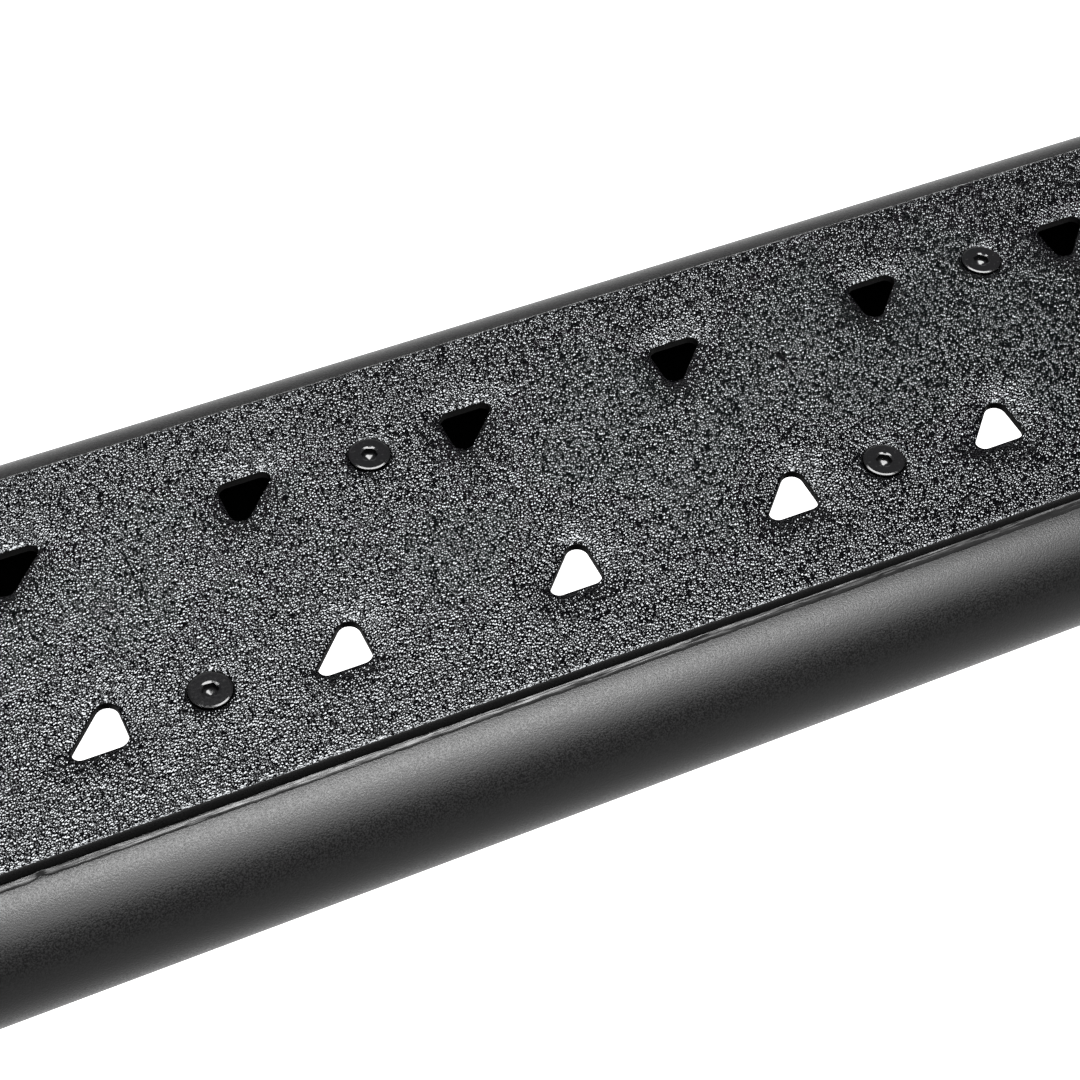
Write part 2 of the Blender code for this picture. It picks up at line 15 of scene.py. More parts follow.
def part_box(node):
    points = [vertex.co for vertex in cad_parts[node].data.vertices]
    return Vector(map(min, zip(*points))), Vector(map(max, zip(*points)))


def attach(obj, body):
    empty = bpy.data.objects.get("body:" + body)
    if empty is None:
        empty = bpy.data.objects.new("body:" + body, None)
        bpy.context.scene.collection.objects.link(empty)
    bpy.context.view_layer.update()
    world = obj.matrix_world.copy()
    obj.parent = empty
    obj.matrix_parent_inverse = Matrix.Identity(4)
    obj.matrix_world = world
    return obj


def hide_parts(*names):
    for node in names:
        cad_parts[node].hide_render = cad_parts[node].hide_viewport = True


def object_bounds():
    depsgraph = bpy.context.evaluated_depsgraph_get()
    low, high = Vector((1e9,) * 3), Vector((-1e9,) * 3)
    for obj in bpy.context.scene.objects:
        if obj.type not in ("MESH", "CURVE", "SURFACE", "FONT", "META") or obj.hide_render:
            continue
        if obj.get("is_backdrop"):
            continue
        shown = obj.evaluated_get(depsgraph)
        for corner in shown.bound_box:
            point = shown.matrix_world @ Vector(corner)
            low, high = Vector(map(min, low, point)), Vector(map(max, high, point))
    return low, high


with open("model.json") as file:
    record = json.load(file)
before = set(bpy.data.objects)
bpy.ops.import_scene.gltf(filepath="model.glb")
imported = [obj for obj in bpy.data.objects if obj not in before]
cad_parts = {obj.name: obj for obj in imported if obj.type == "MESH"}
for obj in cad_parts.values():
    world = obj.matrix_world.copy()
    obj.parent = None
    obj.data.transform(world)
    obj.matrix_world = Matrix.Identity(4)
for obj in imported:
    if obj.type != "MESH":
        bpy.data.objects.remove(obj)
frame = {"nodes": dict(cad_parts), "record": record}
cad_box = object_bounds()

# -------------------- sizes read from the frame
PLATE_LOW, PLATE_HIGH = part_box("step_plate")
RAIL_LOW, RAIL_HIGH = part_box("front_rail")
BOARD_Y = (PLATE_LOW.y + PLATE_HIGH.y) / 2
HALF_LENGTH = PLATE_HIGH.x
PLATE_HALF_WIDTH = (PLATE_HIGH.y - PLATE_LOW.y) / 2
PLATE_TOP = PLATE_HIGH.z
LEDGE_TOP = RAIL_HIGH.z
RAIL_BOTTOM = RAIL_LOW.z
RAIL_RADIUS = (LEDGE_TOP - RAIL_BOTTOM) / 2
RAIL_CENTRE = RAIL_BOTTOM + RAIL_RADIUS
SHOULDER = BOARD_Y - RAIL_LOW.y - RAIL_RADIUS
SCREW_NODES = sorted(name for name in frame["nodes"] if name.startswith("plate_screw"))

# -------------------- the board's own sizes
GAP = 0.0003
SHEET = 0.0025
PITCH = 0.080
HOLES_PER_ROW = 16
HOLE_PHASE = -0.4835
ROW_OFFSET = 0.0355
HOLE_LEGS = (0.0222, 0.0233)
HOLE_RADII = (0.0041, 0.0038, 0.0028)
FLARE_WIDTH = 0.0130
LIP_DEPTH = 0.0017
LIP_WALL = 0.0024
LIP_ROUNDING = 0.0007
PLATE_SKIRT = 0.0056
PLATE_EDGE_RADIUS = 0.0011
GRAIN_SPACING = 0.0017
GRAIN_HEIGHT = 0.00005
TAB_INNER = 0.022
TAB_WIDTH = 0.034
LEDGE_INNER = 0.056
FLANGE_INNER = 0.040
BRACKET_X = 0.400
BRACKET_BOLT_Y = 0.058
SLOT_LENGTH = 0.102
SLOT_WIDTH = 0.0106
TAB_HOLE_RADIUS = 0.0058
BEAD_STOP_X = 0.2290
BEAD_WIDTH = 0.0019
BEAD_RISE = 0.0014
RAIL_CAP_INSET = 0.0025
END_PLATE_INSET = 0.0028
CAP_ROUNDING = 0.0024
CAP_GROOVE = ((0.0060, 0), (0.0063, 0.0006), (0.0075, 0.0008), (0.0087, 0.0006), (0.0090, 0))
CAP_SCREW_HEAD = 0.0024
CHANNEL_SHEET = 0.003
BRACKET_SHEET = 0.004
BRACKET_WEB = 0.022
BRACKET_HALF_WIDTH = 0.025
UPRIGHT_FLARE = 0.008
UPRIGHT_THICKNESS = 0.005
MOUNT_SLOT = (0.022, 0.011)
MOUNT_SLOT_HEIGHTS = (0.093, 0.133)
RIB_TOP = 0.115
BODIES = frame["record"]["behaviour"]["bodies"]


# -------------------- mesh helpers
class Shape:
    """Points and faces, gathered ring by ring."""

    def __init__(self):
        self.points = []
        self.faces = []

    def ring(self, points):
        start = len(self.points)
        self.points += [tuple(point) for point in points]
        return list(range(start, start + len(points)))

    def bridge(self, first, second):
        for i in range(len(first)):
            j = (i + 1) % len(first)
            self.faces.append((first[i], first[j], second[j], second[i]))

    def skin(self, loops):
        for first, second in zip(loops, loops[1:]):
            self.bridge(first, second)

    def cap(self, ring):
        self.faces.append(tuple(ring))

    def loft(self, rings, closed=False):
        loops = [self.ring(points) for points in rings]
        self.skin(loops)
        if closed:
            self.bridge(loops[-1], loops[0])
        else:
            self.cap(loops[0])
            self.cap(loops[-1])


def shape_mesh(name, shape, material, angle=32):
    mesh = bpy.data.meshes.new(name)
    mesh.from_pydata(shape.points, [], shape.faces)
    return finish_mesh(mesh, material, angle)


def finish_mesh(mesh, material, angle=32):
    """Faces outward, smooth shading with sharp edges kept, one material."""
    bm = bmesh.new()
    bm.from_mesh(mesh)
    bmesh.ops.recalc_face_normals(bm, faces=bm.faces)
    bm.to_mesh(mesh)
    bm.free()
    mesh.materials.clear()
    mesh.materials.append(material)
    mesh.shade_smooth()
    mesh.set_sharp_from_angle(angle=math.radians(angle))
    return mesh


def put(name, mesh, location=(0, 0, 0)):
    obj = bpy.data.objects.new(name, mesh)
    bpy.context.scene.collection.objects.link(obj)
    obj.location = location
    return obj


def middle_of(node):
    low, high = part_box(node)
    return (low + high) / 2


def body_of(node):
    return next(body for body, nodes in BODIES.items() if node in nodes)


def stand_for(node, mesh, location=(0, 0, 0), turn=(0, 0, 0)):
    """A detailed piece in place of one CAD node."""
    piece = put(node + "_detail", mesh, location)
    piece.rotation_euler = turn
    bpy.context.view_layer.update()
    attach(piece, body_of(node))
    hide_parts(node)
    return piece


def combined(shape, cutters, operation, material, angle=32):
    """The shape's mesh after an exact Boolean with each of the cutter shapes."""
    base = put("boolean_base", shape_mesh("boolean_base", shape, material, angle))
    helpers = []
    for cutter in cutters:
        helper = put("boolean_cutter", shape_mesh("boolean_cutter", cutter, material))
        modifier = base.modifiers.new("cut", "BOOLEAN")
        modifier.object = helper
        modifier.operation = operation
        modifier.solver = "EXACT"
        helpers.append(helper)
    graph = bpy.context.evaluated_depsgraph_get()
    mesh = bpy.data.meshes.new_from_object(base.evaluated_get(graph), depsgraph=graph)
    for obj in [base, *helpers]:
        bpy.data.objects.remove(obj, do_unlink=True)
    return finish_mesh(mesh, material, angle)


def arc(centre, radius, start, end, steps):
    points = []
    for i in range(steps + 1):
        angle = math.radians(start + (end - start) * i / steps)
        points.append((centre[0] + radius * math.cos(angle), centre[1] + radius * math.sin(angle)))
    return points


def circle(radius, z, segments=48):
    return [(x, y, z) for x, y in arc((0, 0), radius, 0, 360, segments)[:-1]]


def polygon_ring(flats, sides, z, most=1.0, segments=48):
    """A regular polygon's outline by its distance across flats, cut to a largest radius."""
    ring = []
    for i in range(segments):
        angle = 2 * math.pi * i / segments
        part = 2 * math.pi / sides
        across = (angle % part) - part / 2
        radius = min(flats / 2 / math.cos(across), most)
        ring.append((radius * math.cos(angle), radius * math.sin(angle), z))
    return ring


def thread_rings(radius, depth, pitch, top, bottom, segments=48, steps=5):
    """Rings whose radius follows a V thread's helix, fading out at both ends."""
    count = max(2, round((top - bottom) / pitch * steps))
    rings = []
    for j in range(count + 1):
        z = top + (bottom - top) * j / count
        fade = min(1.0, (top - z) / pitch, (z - bottom) / pitch)
        ring = []
        for i in range(segments):
            phase = (z / pitch + i / segments) % 1.0
            valley = abs(2 * phase - 1)
            local = radius - depth * valley * max(0.0, fade)
            angle = 2 * math.pi * i / segments
            ring.append((local * math.cos(angle), local * math.sin(angle), z))
        rings.append(ring)
    return rings


def rounded(corners, radii, steps=6):
    """A closed outline whose corners are rounded, each by its own radius."""
    outline = []
    for i, corner in enumerate(corners):
        here = Vector(corner)
        before = (Vector(corners[i - 1]) - here).normalized()
        after = (Vector(corners[(i + 1) % len(corners)]) - here).normalized()
        radius = radii[i]
        if radius <= 0:
            outline.append(tuple(here))
            continue
        half = before.angle(after) / 2
        centre = here + (before + after).normalized() * radius / math.sin(half)
        first = here + before * radius / math.tan(half) - centre
        last = here + after * radius / math.tan(half) - centre
        sweep = first.angle_signed(last)
        for k in range(steps + 1):
            point = first.copy()
            point.rotate(Matrix.Rotation(-sweep * k / steps, 2))
            outline.append(tuple(centre + point))
    return outline


def along_x(outline, start, end):
    return [[(x, y, z) for y, z in outline] for x in (start, end)]


def along_y(outline, start, end):
    return [[(x, y, z) for x, z in outline] for y in (start, end)]


def along_z(outline, start, end):
    return [[(x, y, z) for x, y in outline] for z in (start, end)]


def solid(rings, closed=False):
    shape = Shape()
    shape.loft(rings, closed)
    return shape


def inside(point, outline):
    """Whether a plan point lies inside a closed outline."""
    hit = False
    x, y = point
    for (x1, y1), (x2, y2) in zip(outline, outline[1:] + outline[:1]):
        if (y1 > y) != (y2 > y) and x < (x2 - x1) * (y - y1) / (y2 - y1) + x1:
            hit = not hit
    return hit


def fill_plane(shape, border, holes, extra, place):
    """Triangles between a border ring and hole rings, through extra plan points.

    border and holes are lists of indices into shape.points; place turns a plan point into a 3-D one.
    """
    indices = []
    edges = []
    for loop in [border, *holes]:
        start = len(indices)
        indices += loop
        count = len(loop)
        edges += [(start + i, start + (i + 1) % count) for i in range(count)]
    plan = [Vector(shape.points[i][:2]) for i in indices] + [Vector(point) for point in extra]
    indices += shape.ring([place(x, y) for x, y in extra])
    result = geometry.delaunay_2d_cdt(plan, edges, [], 0, 1e-7)
    coords, faces, origins = result[0], result[2], result[3]
    target = [indices[origin[0]] for origin in origins]
    outlines = [[tuple(shape.points[i][:2]) for i in hole] for hole in holes]
    centres = [Vector(map(sum, zip(*outline))) / len(outline) for outline in outlines]
    reach = [max((Vector(p) - c).length for p in o) for o, c in zip(outlines, centres)]
    for face in faces:
        middle = sum((coords[i] for i in face), Vector((0, 0))) / len(face)
        skip = False
        for outline, centre, radius in zip(outlines, centres, reach):
            if abs(middle.x - centre.x) < radius and abs(middle.y - centre.y) < radius:
                skip = skip or inside(middle, outline)
        if not skip:
            shape.faces.append(tuple(target[i] for i in face))


# -------------------- material helpers
class Look:
    """A Principled material being put together."""

    def __init__(self, name, colour, roughness, metallic=0.0, **sockets):
        self.material = bpy.data.materials.new(name)
        self.material.use_nodes = True
        self.tree = self.material.node_tree
        self.shader = self.tree.nodes["Principled BSDF"]
        self.shader.inputs["Base Color"].default_value = (*colour, 1)
        self.shader.inputs["Roughness"].default_value = roughness
        self.shader.inputs["Metallic"].default_value = metallic
        for socket, value in sockets.items():
            self.shader.inputs[socket.replace("_", " ")].default_value = value
        self.coords = self.tree.nodes.new("ShaderNodeTexCoord").outputs["Object"]
        self.normal = None

    def link(self, source, target):
        self.tree.links.new(source, target)

    def stretched(self, scale, turn=0.0):
        """Object coordinates drawn out by scale along axes turned about Z."""
        mapping = self.tree.nodes.new("ShaderNodeMapping")
        mapping.vector_type = "TEXTURE"
        mapping.inputs["Scale"].default_value = scale
        mapping.inputs["Rotation"].default_value = (0, 0, math.radians(turn))
        self.link(self.coords, mapping.inputs["Vector"])
        return mapping.outputs["Vector"]

    def noise(self, size, detail=2.0, roughness=0.5, coords=None):
        """Noise with blobs about size metres across."""
        node = self.tree.nodes.new("ShaderNodeTexNoise")
        node.inputs["Scale"].default_value = 1 / size
        node.inputs["Detail"].default_value = detail
        node.inputs["Roughness"].default_value = roughness
        self.link(coords or self.coords, node.inputs["Vector"])
        return node.outputs["Fac"]

    def cells(self, size, coords=None):
        node = self.tree.nodes.new("ShaderNodeTexVoronoi")
        node.inputs["Scale"].default_value = 1 / size
        self.link(coords or self.coords, node.inputs["Vector"])
        return node.outputs["Distance"], node.outputs["Color"]

    def spread(self, value, low, high, to_low=0.0, to_high=1.0):
        node = self.tree.nodes.new("ShaderNodeMapRange")
        for socket, number in zip(range(1, 5), (low, high, to_low, to_high)):
            node.inputs[socket].default_value = number
        self.link(value, node.inputs[0])
        return node.outputs[0]

    def math(self, operation, first, second):
        node = self.tree.nodes.new("ShaderNodeMath")
        node.operation = operation
        for socket, value in zip(node.inputs, (first, second)):
            if isinstance(value, (int, float)):
                socket.default_value = value
            else:
                self.link(value, socket)
        return node.outputs[0]

    def colours(self, value, low, high):
        node = self.tree.nodes.new("ShaderNodeMix")
        node.data_type = "RGBA"
        node.inputs["A"].default_value = (*low, 1)
        node.inputs["B"].default_value = (*high, 1)
        self.link(value, node.inputs["Factor"])
        # A Mix node keeps one result socket for each data type.
        return next(out for out in node.outputs if out.type == "RGBA")

    def bump(self, height, distance, strength=1.0):
        node = self.tree.nodes.new("ShaderNodeBump")
        node.inputs["Strength"].default_value = strength
        node.inputs["Distance"].default_value = distance
        self.link(height, node.inputs["Height"])
        if self.normal:
            self.link(self.normal, node.inputs["Normal"])
        self.normal = node.outputs["Normal"]
        self.link(self.normal, self.shader.inputs["Normal"])

    def colour(self, source):
        self.link(source, self.shader.inputs["Base Color"])

    def rough(self, source):
        self.link(source, self.shader.inputs["Roughness"])


def textured_coat():
    """Coarse sprayed anti-slip coat: close-packed glossy grains of uneven height on a lumpy layer."""
    look = Look("textured_coat", (0.0002, 0.0002, 0.0003), 0.08, Specular_IOR_Level=0.23,
                Specular_Tint=(0.94, 0.975, 1.0, 1))
    near, tint = look.cells(0.00086, coords=look.stretched((1.22, 0.82, 1), 40))
    grains = look.math("MULTIPLY", near, look.spread(tint, 0, 1, 0.1, 1.8))
    lumps = look.math("MULTIPLY", look.noise(0.0026, detail=2.0), 0.1)
    height = look.math("SUBTRACT", lumps, grains)
    across = look.tree.nodes.new("ShaderNodeSeparateXYZ")
    look.link(look.coords, across.inputs[0])
    from_middle = look.math("ABSOLUTE", look.math("SUBTRACT", across.outputs["Y"], BOARD_Y), 0)
    top_only = look.spread(from_middle, PLATE_HALF_WIDTH - 0.0006, PLATE_HALF_WIDTH - 0.0001, 1, 0)
    look.bump(look.math("MULTIPLY", height, top_only), 0.00038)
    # Painted highlight and shade: grain tops coloured lighter, the valleys between grains darker.
    painted_crest_light = look.spread(near, 0.1, 0.6)
    look.colour(look.colours(painted_crest_light, (0.0003, 0.0003, 0.0004), (0.0001, 0.0001, 0.00015)))
    look.rough(look.spread(look.noise(0.004, detail=2.0), 0.3, 0.7, 0.045, 0.09))
    return look.material


def powder_coat(name, dark, light, rough, shine=0.12):
    """Satin powder coat: fine orange peel and a faint grain."""
    look = Look(name, dark, rough, Specular_IOR_Level=shine)
    grain = look.noise(0.00052, detail=1.0)
    peel = look.noise(0.0030, detail=1.0)
    look.bump(peel, 0.00003, 0.5)
    look.bump(grain, 0.00008)
    look.colour(look.colours(look.spread(grain, 0.42, 0.60), dark, light))
    look.rough(look.spread(grain, 0.3, 0.7, rough - 0.09, rough + 0.09))
    return look.material


def silicone():
    look = Look("silicone_bead", (0.006, 0.006, 0.006), 0.30, Specular_IOR_Level=0.12)
    streaks = look.noise(0.0012, detail=2.0, coords=look.stretched((8, 1, 1)))
    look.bump(streaks, 0.0004, 0.8)
    look.rough(look.spread(look.noise(0.006, detail=2.0), 0.3, 0.7, 0.20, 0.34))
    look.colour(look.colours(streaks, (0.0015, 0.0015, 0.0015), (0.008, 0.008, 0.008)))
    return look.material


def foam():
    look = Look("gasket_foam", (0.008, 0.008, 0.008), 0.9, Specular_IOR_Level=0.15)
    cells = look.cells(0.0009)[0]
    look.bump(cells, 0.0003, 0.7)
    # Painted shade: the cell pits are coloured darker than their rims.
    shade = look.spread(cells, 0.0, 0.8)
    look.colour(look.colours(shade, (0.004, 0.004, 0.004), (0.013, 0.013, 0.013)))
    return look.material


def black_oxide():
    """Blackened screw steel: satin, with fine turning marks and slight handling wear."""
    look = Look("black_oxide", (0.006, 0.006, 0.006), 0.15, Specular_IOR_Level=0.13)
    fine = look.noise(0.0004, detail=3.0, roughness=0.6)
    look.bump(fine, 0.00002, 0.7)
    wear = look.spread(look.noise(0.0018, detail=3.0), 0.62, 0.78)
    look.colour(look.colours(wear, (0.0018, 0.0018, 0.0019), (0.007, 0.007, 0.007)))
    look.rough(look.spread(look.noise(0.001, detail=2.0), 0.3, 0.7, 0.11, 0.20))
    return look.material


def zinc():
    look = Look("zinc_plate", (0.38, 0.39, 0.41), 0.32, metallic=1.0)
    spangle = look.noise(0.0022, detail=3.0, roughness=0.6)
    shade = look.spread(spangle, 0.3, 0.7)
    look.colour(look.colours(shade, (0.28, 0.29, 0.31), (0.46, 0.47, 0.48)))
    look.rough(look.spread(look.noise(0.0014, detail=3.0), 0.3, 0.7, 0.24, 0.46))
    look.bump(look.noise(0.0005, detail=2.0), 0.00002, 0.6)
    return look.material


def plastic():
    """Black moulded plastic with a spark-eroded grain."""
    look = Look("moulded_plastic", (0.007, 0.007, 0.008), 0.46, Specular_IOR_Level=0.15)
    grain = look.noise(0.0007, detail=3.0, roughness=0.6)
    look.bump(grain, 0.00012, 0.8)
    shade = look.noise(0.02, detail=2.0)
    look.colour(look.colours(shade, (0.003, 0.003, 0.004), (0.007, 0.007, 0.008)))
    look.rough(look.spread(grain, 0.3, 0.7, 0.40, 0.54))
    return look.material


# -------------------- step plate
def grain_lift(x, y):
    """Height of the sprayed coat's lumps above the bare sheet."""
    coarse = noise.noise(Vector((x, y, 0.0)) * 330)
    medium = noise.noise(Vector((x, y, 0.3)) * 720)
    return GRAIN_HEIGHT * (coarse + 0.8 * medium)


def hole_places(row):
    first = 1 - HOLES_PER_ROW // 2
    xs = [(first + k + HOLE_PHASE) * PITCH for k in range(HOLES_PER_ROW)]
    return [(-row * x, row * ROW_OFFSET) for x in xs]


def hole_corner_arcs():
    """Centre, radius and facing of each rounded corner, with the hole's box on the origin."""
    corners = [Vector((0, 0)), Vector((0, HOLE_LEGS[1])), Vector((-HOLE_LEGS[0], 0))]
    arcs = []
    for i, corner in enumerate(corners):
        before = (corners[i - 1] - corner).normalized()
        after = (corners[(i + 1) % 3] - corner).normalized()
        half = before.angle(after) / 2
        middle = (before + after).normalized()
        centre = corner + middle * HOLE_RADII[i] / math.sin(half)
        facing = math.degrees(math.atan2(-middle.y, -middle.x))
        arcs.append((centre, HOLE_RADII[i], facing, 90 - math.degrees(half)))
    box = [p for c, r, facing, sweep in arcs for p in arc(c, r, facing - sweep, facing + sweep, 12)]
    middle = Vector((min(p[0] for p in box) + max(p[0] for p in box),
                     min(p[1] for p in box) + max(p[1] for p in box))) / 2
    return [(centre - middle, radius, facing, sweep) for centre, radius, facing, sweep in arcs]


HOLE_ARCS = hole_corner_arcs()


def hole_outline(grow, corner_steps=9, side_steps=4):
    """The outer row's hole, grown by an amount; the same count of points for any growth."""
    ends = []
    for centre, radius, facing, sweep in HOLE_ARCS:
        ends.append(arc(centre, radius + grow, facing - sweep, facing + sweep, corner_steps))
    outline = []
    for i, corner in enumerate(ends):
        outline += corner
        start, end = Vector(corner[-1]), Vector(ends[(i + 1) % 3][0])
        outline += [tuple(start.lerp(end, k / side_steps)) for k in range(1, side_steps)]
    return outline


def flare_profile():
    """(distance from the hole's edge, depth) down the stamped flare and round into the wall."""
    profile = []
    steps = 9
    for k in range(steps):
        t = 1 - k / steps
        distance = LIP_ROUNDING + (FLARE_WIDTH - LIP_ROUNDING) * t
        profile.append((distance, (LIP_DEPTH - LIP_ROUNDING * 0.4) * (1 - t) ** 1.9))
    for k in range(1, 5):
        angle = math.radians(30 + 60 * k / 4)
        distance = LIP_ROUNDING * (1 - math.sin(angle))
        profile.append((distance, LIP_DEPTH + LIP_ROUNDING * (0.4 - math.cos(angle))))
    profile.append((0.0, LIP_DEPTH + LIP_WALL))
    return profile


def under_profile():
    """The same flare on the underside, from the bottom of the wall out to the flat sheet."""
    wall = SHEET * 0.7
    profile = [(wall * 0.5, LIP_DEPTH + LIP_WALL + 0.0001), (wall, LIP_DEPTH + LIP_WALL - 0.0003)]
    for k in range(1, 6):
        t = k / 5
        distance = wall + (FLARE_WIDTH + 0.001 - wall) * t
        profile.append((distance, SHEET + (LIP_DEPTH + LIP_WALL - 0.0003 - SHEET) * (1 - t) ** 1.7))
    return profile


def plate_hole(shape, place, row):
    """Rings of one stamped hole; returns its outermost rings on top and underneath."""
    def ring(distance, depth, grain):
        points = []
        for x, y in hole_outline(distance):
            px, py = place[0] - row * x, place[1] - row * y
            lift = grain_lift(px, py) * grain
            points.append((px, py + BOARD_Y, PLATE_TOP - depth + lift))
        return shape.ring(points)

    profile = flare_profile()
    rings = [ring(d, z, min(1.0, d / 0.0015)) for d, z in profile]
    rings += [ring(d, z, 0.0) for d, z in under_profile()]
    shape.skin(rings)
    return rings[0], rings[-1]


def plate_countersink(shape, x, y):
    """Rings of a screw's seat, with the sheet drawn down slightly round the head."""
    top = [(0.0105, 0.0), (0.0092, 0.00012), (0.0080, 0.0003), (0.0076, 0.0005), (0.0073, 0.0009)]
    seat = [(0.0046, 0.0033), (0.0046, 0.0040), (0.0070, 0.0040), (0.0085, 0.0034), (0.0100, SHEET)]
    rings = []
    for i, (radius, depth) in enumerate(top + seat):
        points = []
        for px, py, _ in circle(radius, 0, 40):
            lift = grain_lift(x + px, y + py - BOARD_Y) if i < 2 else 0.0
            points.append((x + px, y + py, PLATE_TOP - depth + lift))
        rings.append(shape.ring(points))
    shape.skin(rings)
    return rings[0], rings[-1]


def plate_border(shape):
    """Rings round the plate: rounded top edge, skirt, and its inside up to the underside."""
    radius = PLATE_EDGE_RADIUS
    profile = []
    for k in range(5):
        angle = math.radians(90 * k / 4)
        profile.append((radius * (1 - math.sin(angle)), radius * (1 - math.cos(angle))))
    profile += [(0, PLATE_SKIRT - 0.0004), (0.0004, PLATE_SKIRT), (SHEET - 0.0004, PLATE_SKIRT)]
    profile += [(SHEET, PLATE_SKIRT - 0.0004), (SHEET, SHEET + 0.001), (SHEET + 0.001, SHEET)]
    corner = 0.0022
    rings = []
    for i, (inset, depth) in enumerate(profile):
        half_x, half_y = HALF_LENGTH - inset, PLATE_HALF_WIDTH - inset
        bend = max(corner - inset, 0.0004)
        outline = []
        for sx, sy, start in ((1, -1, -90), (1, 1, 0), (-1, 1, 90), (-1, -1, 180)):
            centre = (sx * (half_x - bend), sy * (half_y - bend))
            outline += arc(centre, bend, start, start + 90, 4)
        points = []
        for first, second in zip(outline, outline[1:] + outline[:1]):
            length = math.dist(first, second)
            base_length = 2 * HALF_LENGTH if length > 1 else 2 * PLATE_HALF_WIDTH
            pieces = max(1, round(base_length / 0.0028)) if length > 0.05 else 1
            for k in range(pieces):
                x = first[0] + (second[0] - first[0]) * k / pieces
                y = first[1] + (second[1] - first[1]) * k / pieces
                lift = grain_lift(x, y) * 0.8 if i < 4 else 0.0
                points.append((x, y + BOARD_Y, PLATE_TOP - depth + lift))
        rings.append(shape.ring(points))
    shape.skin(rings)
    return rings[0], rings[-1]


def grain_points(blocked):
    """Staggered plan points over the flat of the plate, clear of the holes' flares."""
    inset = PLATE_EDGE_RADIUS + GRAIN_SPACING * 0.6
    half_x, half_y = HALF_LENGTH - inset, PLATE_HALF_WIDTH - inset
    rows = int(2 * half_y / (GRAIN_SPACING * 0.87))
    columns = int(2 * half_x / GRAIN_SPACING)
    points = []
    for j in range(rows + 1):
        y = -half_y + 2 * half_y * j / rows
        for i in range(columns):
            x = -half_x + 2 * half_x * (i + 0.25 + 0.5 * (j % 2)) / columns
            near = blocked.get((round(x / PITCH * 2), y > 0), [])
            if not any(clear(x, y) for clear in near):
                points.append((x, y + BOARD_Y))
    return points


def step_plate(material, smooth, wall):
    shape = Shape()
    upper_border, lower_border = plate_border(shape)
    upper, lower, blocked = [], [], {}
    keep = GRAIN_SPACING * 0.55

    def block(x, y, test):
        for cell in range(round(x / PITCH * 2) - 1, round(x / PITCH * 2) + 2):
            blocked.setdefault((cell, y > 0), []).append(test)

    outline = hole_outline(FLARE_WIDTH + keep)
    for row in (-1, 1):
        for place in hole_places(row):
            top, bottom = plate_hole(shape, place, row)
            upper.append(top)
            lower.append(bottom)
            block(*place, lambda x, y, p=place, r=row: inside(
                (-r * (x - p[0]), -r * (y - p[1])), outline))
    for node in SCREW_NODES:
        x, y, _ = middle_of(node)
        top, bottom = plate_countersink(shape, x, y)
        upper.append(top)
        lower.append(bottom)
        centre = (x, y - BOARD_Y)
        block(*centre, lambda px, py, c=centre: math.dist((px, py), c) < 0.0105 + keep)
    fill_plane(shape, upper_border, upper, grain_points(blocked),
               lambda x, y: (x, y, PLATE_TOP + grain_lift(x, y - BOARD_Y)))
    fill_plane(shape, lower_border, lower, [], None)
    mesh = shape_mesh("step_plate", shape, material, 50)
    mesh.materials.append(smooth)
    mesh.materials.append(wall)
    for polygon in mesh.polygons:
        x, y = abs(polygon.center.x), abs(polygon.center.y - BOARD_Y)
        border = max(x - HALF_LENGTH, y - PLATE_HALF_WIDTH)
        if border > -0.0003 or polygon.normal.z < -0.2:
            polygon.material_index = 1
        # Walls inside the holes take the darker copy of the coat: painted shade.
        elif border < -0.004 and polygon.normal.z < 0.7:
            polygon.material_index = 2
    stand_for("step_plate", mesh)


# -------------------- rails, gaskets and beads
def rail_outline(side):
    """The bent sheet, with its edges eased; side is -1 for the outer rail."""
    centre = (SHOULDER, RAIL_CENTRE)
    ease = 0.0004
    outline = [(LEDGE_INNER, LEDGE_TOP - ease), (LEDGE_INNER + ease, LEDGE_TOP)]
    outline += arc(centre, RAIL_RADIUS, 90, -90, 60)
    outline += [(FLANGE_INNER + ease, RAIL_BOTTOM), (FLANGE_INNER, RAIL_BOTTOM + ease)]
    outline += [(FLANGE_INNER, RAIL_BOTTOM + SHEET - ease)]
    outline += [(FLANGE_INNER + ease, RAIL_BOTTOM + SHEET)]
    outline += arc(centre, RAIL_RADIUS - SHEET, -90, 90, 40)
    outline += [(LEDGE_INNER + ease, LEDGE_TOP - SHEET), (LEDGE_INNER, LEDGE_TOP - SHEET + ease)]
    return [(BOARD_Y + side * u, z) for u, z in outline]


def slot_outline(x, y, length, width, steps=12):
    reach = (length - width) / 2
    right = arc((x + reach, y), width / 2, -90, 90, steps)
    return right + arc((x - reach, y), width / 2, 90, 270, steps)


